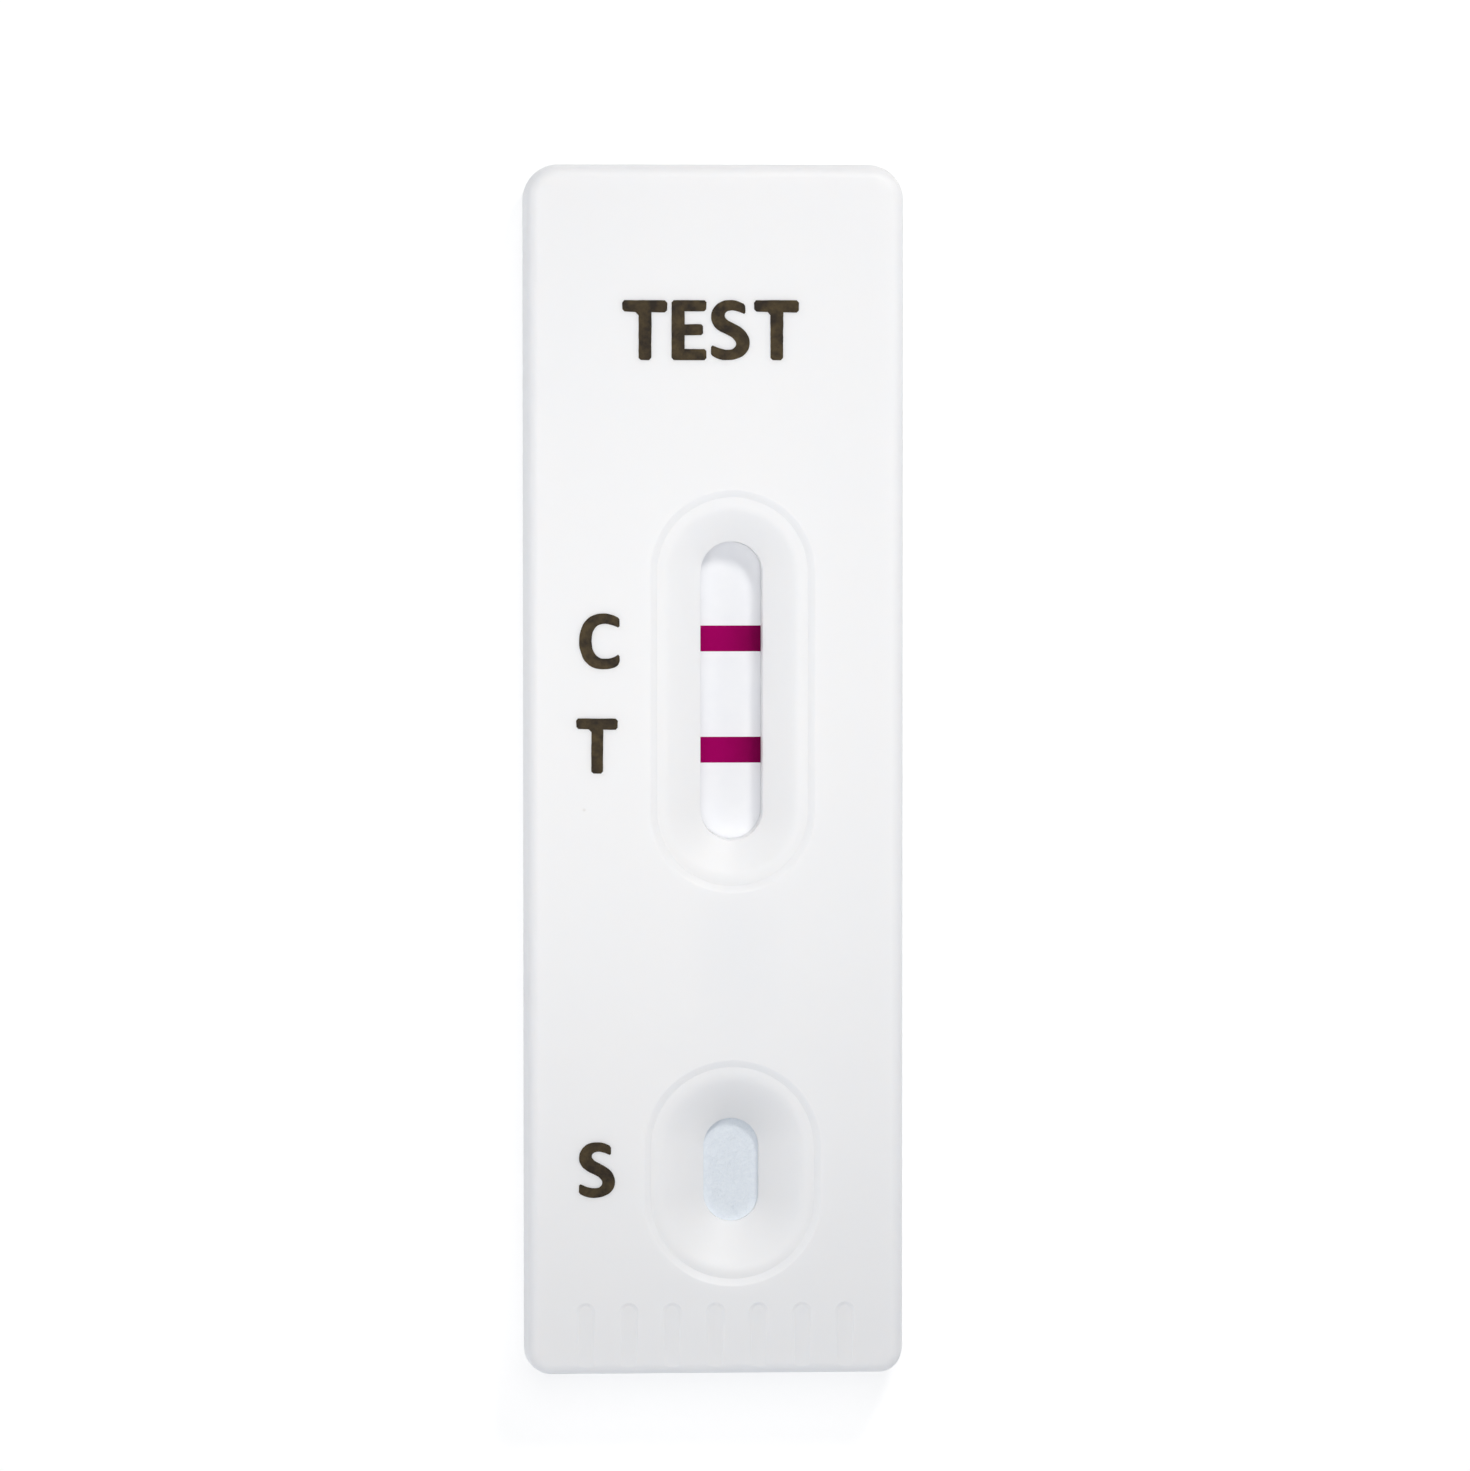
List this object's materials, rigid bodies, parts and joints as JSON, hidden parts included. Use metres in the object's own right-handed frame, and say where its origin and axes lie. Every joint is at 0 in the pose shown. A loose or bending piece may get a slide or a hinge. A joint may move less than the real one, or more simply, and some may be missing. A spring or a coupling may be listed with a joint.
{
  "type": "lateral flow cassette",
  "caption": "Flat white test cassette: two moulded half shells round a lateral flow strip, with an oblong reading window, a funnel-shaped sample well and grip flutes.",
  "frame": {"origin": "middle of the underside", "axes": "+X across the cassette, +Y along it from the sample end to the header end, +Z out of the reading face"},
  "size_m": [0.022, 0.07, 0.005],
  "materials": {
    "housing_plastic": "fine satin moulding texture",
    "card_plastic": "smooth sheet",
    "membrane": "smooth matt membrane",
    "captured_dye": "matt dye in the membrane",
    "glass_fibre": "loose glass fibre with dried label",
    "sample_fibre": "fibrous, damp grey-white",
    "cotton_fibre": "thick blotting fibre"
  },
  "bodies": {
    "root": {"upper_housing": "housing_plastic", "lower_housing": "housing_plastic", "backing_card": "card_plastic", "nitrocellulose_membrane": "membrane", "control_line": "captured_dye", "test_line": "captured_dye", "conjugate_pad": "glass_fibre", "sample_pad": "sample_fibre", "absorbent_pad": "cotton_fibre"}
  },
  "joints": []
}
